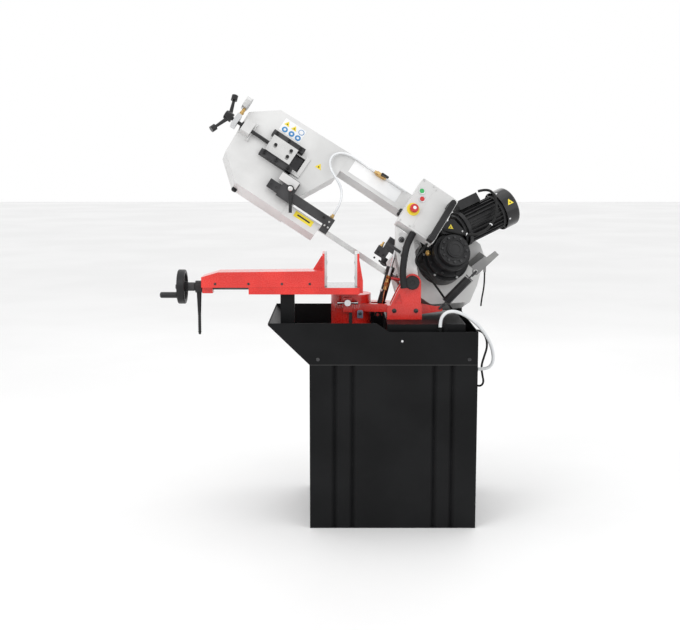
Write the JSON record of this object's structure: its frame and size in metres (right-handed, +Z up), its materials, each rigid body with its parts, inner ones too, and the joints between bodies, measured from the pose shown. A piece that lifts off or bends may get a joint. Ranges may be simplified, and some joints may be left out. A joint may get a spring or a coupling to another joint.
{
  "type": "horizontal band saw",
  "caption": "Horizontal metal cutting band saw on a black sheet steel stand, with a raised light grey bow, red swivelling vice, motor, gearbox and coolant system.",
  "frame": {"origin": "centre of the stand's underside on the floor", "axes": "+Z up, +X from the idler end to the drive end, -Y towards the operator"},
  "size_m": [1.3309, 0.738, 1.5676],
  "materials": {
    "black_powder": "satin",
    "red_paint": "gloss",
    "grey_paint": "satin",
    "black_cast": "satin",
    "ground_steel": "satin",
    "dark_steel": "satin",
    "chrome_steel": "gloss",
    "machined_iron": "satin",
    "aluminium_block": "satin",
    "brass_valve": "satin",
    "black_plastic": "matte",
    "gloss_black": "gloss",
    "black_rubber": "matte",
    "white_hose": "matte",
    "clear_hose": "gloss",
    "green_button": "gloss",
    "red_button": "gloss"
  },
  "bodies": {
    "stand": {"cabinet": "black_powder", "chip_tray": "black_powder", "coolant_tank": "black_powder", "vice_post": "black_powder", "plinth": "black_powder", "turntable_base": "red_paint", "vice_bed": "red_paint", "fixed_jaw_plate": "ground_steel", "coolant_hose": "white_hose", "mains_lead": "black_rubber", "mains_coil": "black_rubber", "mains_plug": "black_rubber"},
    "vice_slide": {"vice_slide": "red_paint", "moving_jaw_plate": "ground_steel"},
    "handwheel": {"vice_screw": "ground_steel", "handwheel": "black_cast"},
    "crank_grip": {"crank_grip": "gloss_black"},
    "vice_lever": {"vice_lever": "ground_steel"},
    "swivel": {"bow_bracket": "red_paint", "pivot_shaft": "dark_steel"},
    "mitre_lock": {"mitre_lock": "chrome_steel"},
    "bow": {"bow_head": "grey_paint", "bow_beam": "grey_paint", "wheel_housing": "grey_paint", "rear_covers": "grey_paint", "hinge_plate": "grey_paint", "control_box": "grey_paint", "grab_handle": "black_plastic", "gearbox": "black_cast", "motor": "black_cast", "fan_cover": "gloss_black", "slide_gibs": "dark_steel", "tension_bracket": "grey_paint", "guide_holder": "dark_steel", "fixed_guide": "dark_steel", "spring_arm": "grey_paint", "coolant_valve": "brass_valve", "blade": "ground_steel", "clear_hose": "clear_hose", "conduit": "black_plastic", "control_cable": "black_rubber", "motor_cable": "black_rubber"},
    "tension_slide": {"tension_block": "ground_steel", "pressure_gauge": "aluminium_block"},
    "tension_handle": {"tension_handle": "gloss_black"},
    "idler_wheel": {"idler_wheel": "machined_iron"},
    "drive_wheel": {"drive_wheel": "machined_iron"},
    "motor_rotor": {"motor_rotor": "machined_iron"},
    "guide": {"guide_arm": "dark_steel", "blade_guard": "grey_paint"},
    "guide_lever": {"guide_lever": "gloss_black"},
    "start_button": {"start_button": "green_button"},
    "stop_button": {"stop_button": "red_button"},
    "estop_button": {"estop_button": "red_button"},
    "coolant_tap": {"coolant_tap": "gloss_black"},
    "feed_cylinder": {"feed_cylinder": "black_cast"},
    "feed_rod": {"feed_rod": "chrome_steel"},
    "spring": {"lower_spring_hook": "dark_steel", "counter_spring": "dark_steel"},
    "upper_spring_hook": {"upper_spring_hook": "dark_steel"}
  },
  "joints": [
    {"name": "mitre_swivel", "type": "hinge", "parent": "stand", "child": "swivel", "pos_m": [-0.15, 0, 0.78], "axis": [0, 0, -1], "range_deg": [0, 20]},
    {"name": "bow_pivot", "type": "hinge", "parent": "swivel", "child": "bow", "pos_m": [0.074, -0.08, 0.88], "axis": [0, -1, 0], "range_deg": [-3, 33.5]},
    {"name": "vice_slide", "type": "slide", "parent": "stand", "child": "vice_slide", "axis": [1, 0, 0], "range_m": [-0.12, 0.095]},
    {"name": "handwheel_spin", "type": "hinge", "parent": "vice_slide", "child": "handwheel", "pos_m": [-0.765, -0.15, 0.869], "axis": [1, 0, 0], "range_deg": [-8700, 6900]},
    {"name": "grip_spin", "type": "hinge", "parent": "handwheel", "child": "crank_grip", "pos_m": [-0.81, -0.19, 0.843], "axis": [1, 0, 0], "continuous": true},
    {"name": "vice_lever_turn", "type": "hinge", "parent": "vice_slide", "child": "vice_lever", "pos_m": [-0.704, -0.15, 0.869], "axis": [1, 0, 0], "range_deg": [-45, 45]},
    {"name": "mitre_lock_turn", "type": "hinge", "parent": "swivel", "child": "mitre_lock", "pos_m": [-0.163, -0.106, 0.804], "axis": [0, -1, 0], "range_deg": [-40, 40]},
    {"name": "drive_spin", "type": "hinge", "parent": "bow", "child": "drive_wheel", "pos_m": [0.18084, 0.06128, 0.9309], "axis": [0.2333, -0.9063, 0.3524], "continuous": true},
    {"name": "idler_spin", "type": "hinge", "parent": "tension_slide", "child": "idler_wheel", "pos_m": [-0.42328, 0.06128, 1.33076], "axis": [0.2333, -0.9063, 0.3524], "continuous": true},
    {"name": "rotor_spin", "type": "hinge", "parent": "bow", "child": "motor_rotor", "pos_m": [0.17112, -0.01456, 1.02605], "axis": [0.8502, 0.366, 0.3785], "continuous": true},
    {"name": "tension_travel", "type": "slide", "parent": "bow", "child": "tension_slide", "axis": [0.8339, 0, -0.5519], "range_m": [0, 0.01]},
    {"name": "tension_turn", "type": "hinge", "parent": "tension_slide", "child": "tension_handle", "pos_m": [-0.55329, 0.01663, 1.45237], "axis": [0.8339, 0, -0.5519], "range_deg": [-10, 1810]},
    {"name": "guide_travel", "type": "slide", "parent": "bow", "child": "guide", "axis": [0.8339, 0, -0.5519], "range_m": [-0.1, 0.05]},
    {"name": "guide_lever_turn", "type": "hinge", "parent": "bow", "child": "guide_lever", "pos_m": [-0.37284, -0.07, 1.22132], "axis": [0, -1, 0], "range_deg": [-30, 45]},
    {"name": "start_press", "type": "slide", "parent": "bow", "child": "start_button", "axis": [-0.2333, 0.9063, -0.3524], "range_m": [0, 0.003], "stiffness_N_per_m": 600},
    {"name": "stop_press", "type": "slide", "parent": "bow", "child": "stop_button", "axis": [-0.2333, 0.9063, -0.3524], "range_m": [0, 0.003], "stiffness_N_per_m": 600},
    {"name": "estop_press", "type": "slide", "parent": "bow", "child": "estop_button", "axis": [-0.2333, 0.9063, -0.3524], "range_m": [0, 0.006], "stiffness_N_per_m": 600},
    {"name": "tap_turn", "type": "hinge", "parent": "bow", "child": "coolant_tap", "pos_m": [-0.03096, 0.07337, 1.26677], "axis": [0.2333, -0.9063, 0.3524], "range_deg": [0, 90]},
    {"name": "feed_swing", "type": "hinge", "parent": "swivel", "child": "feed_cylinder", "pos_m": [-0.05, -0.036, 0.752], "axis": [0, -1, 0], "range_deg": [-3, 14]},
    {"name": "feed_stroke", "type": "slide", "parent": "feed_cylinder", "child": "feed_rod", "axis": [0.2641, 0, 0.9645], "range_m": [-0.064, 0.01]},
    {"name": "spring_swing", "type": "hinge", "parent": "swivel", "child": "spring", "pos_m": [0.178, -0.08, 0.78], "axis": [0, -1, 0], "range_deg": [-6, 30]},
    {"name": "spring_stretch", "type": "slide", "parent": "spring", "child": "upper_spring_hook", "axis": [0.6938, 0, 0.7201], "range_m": [-0.014, 0.084], "deforming": ["counter_spring"]}
  ],
  "couplings": [
    {"joint": "handwheel_spin", "follows": "vice_slide", "rad_per_m": 1256.6},
    {"joint": "idler_spin", "follows": "drive_spin", "ratio": 1},
    {"joint": "rotor_spin", "follows": "drive_spin", "ratio": 36},
    {"joint": "tension_turn", "follows": "tension_travel", "rad_per_m": 3141.6},
    {"joint": "feed_swing", "follows": "bow_pivot", "ratio": 0.3746},
    {"joint": "feed_stroke", "follows": "bow_pivot", "m_per_rad": -0.1026},
    {"joint": "spring_swing", "follows": "bow_pivot", "ratio": 0.849},
    {"joint": "spring_stretch", "follows": "bow_pivot", "m_per_rad": 0.1381}
  ]
}
